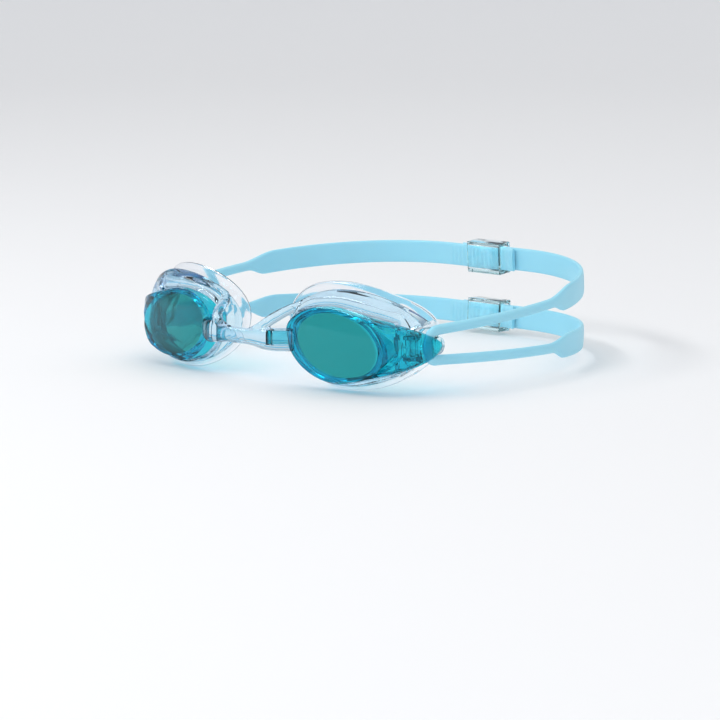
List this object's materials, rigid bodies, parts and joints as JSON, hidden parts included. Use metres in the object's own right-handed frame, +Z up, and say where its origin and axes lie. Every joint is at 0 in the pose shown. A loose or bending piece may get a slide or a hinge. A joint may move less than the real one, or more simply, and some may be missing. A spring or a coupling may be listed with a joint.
{
  "type": "swim goggles",
  "caption": "Low-profile swim goggles: tinted winged lenses in clear soft eyecups, hooked nose bridge, and a two-strand silicone strap with back clips.",
  "frame": {"origin": "middle of the nose bridge, on the line between its two hinge pins", "axes": "+Y to the back of the wearer's head, +X to the wearer's left, +Z up"},
  "size_m": [0.162, 0.1618, 0.041],
  "materials": {
    "tinted_lens": "polished, tinted see-through",
    "clear_soft": "clear, glossy soft moulding",
    "clear_seal": "clear, thin and satin",
    "clear_plastic": "clear, hard and glossy",
    "strap_silicone": "satin silicone"
  },
  "bodies": {
    "nose_bridge": {"nose_bridge": "clear_soft"},
    "left_eyecup": {"lens_left": "tinted_lens", "frame_left": "clear_soft", "seal_left": "clear_seal", "buckle_pin_left": "clear_plastic"},
    "left_buckle": {"buckle_left": "clear_plastic"},
    "left_strap": {"strap_left": "strap_silicone"},
    "right_eyecup": {"lens_right": "tinted_lens", "frame_right": "clear_soft", "seal_right": "clear_seal", "buckle_pin_right": "clear_plastic"},
    "right_buckle": {"buckle_right": "clear_plastic"},
    "right_strap": {"strap_right": "strap_silicone"},
    "upper_clip": {"upper_clip": "clear_plastic"},
    "lower_clip": {"lower_clip": "clear_plastic"}
  },
  "joints": [
    {"name": "left_flex", "type": "hinge", "parent": "nose_bridge", "child": "left_eyecup", "pos_m": [0.0155, 0, 0], "axis": [0, 0, 1], "range_deg": [-5, 5], "stiffness_Nm_per_rad": 0.05},
    {"name": "left_buckle_swivel", "type": "hinge", "parent": "left_eyecup", "child": "left_buckle", "pos_m": [0.0663, 0.022, -0.0002], "axis": [0, 0, 1], "range_deg": [-6, 6]},
    {"name": "left_strap_tilt", "type": "hinge", "parent": "left_buckle", "child": "left_strap", "pos_m": [0.07, 0.031, -0.0002], "axis": [1, 0, 0], "range_deg": [-15, 15]},
    {"name": "right_flex", "type": "hinge", "parent": "nose_bridge", "child": "right_eyecup", "pos_m": [-0.0155, 0, 0], "axis": [0, 0, 1], "range_deg": [-5, 5], "stiffness_Nm_per_rad": 0.05},
    {"name": "right_buckle_swivel", "type": "hinge", "parent": "right_eyecup", "child": "right_buckle", "pos_m": [-0.0663, 0.022, -0.0002], "axis": [0, 0, 1], "range_deg": [-6, 6]},
    {"name": "right_strap_tilt", "type": "hinge", "parent": "right_buckle", "child": "right_strap", "pos_m": [-0.07, 0.031, -0.0002], "axis": [1, 0, 0], "range_deg": [-15, 15]},
    {"name": "upper_clip_slide", "type": "slide", "parent": "left_strap", "child": "upper_clip", "axis": [1, 0, 0], "range_m": [-0.005, 0.005]},
    {"name": "lower_clip_slide", "type": "slide", "parent": "left_strap", "child": "lower_clip", "axis": [1, 0, 0], "range_m": [-0.005, 0.005]}
  ],
  "couplings": [
    {"joint": "right_flex", "follows": "left_flex", "ratio": -1},
    {"joint": "left_buckle_swivel", "follows": "left_flex", "ratio": -1},
    {"joint": "right_buckle_swivel", "follows": "left_flex", "ratio": 1},
    {"joint": "right_strap_tilt", "follows": "left_strap_tilt", "ratio": 1}
  ]
}
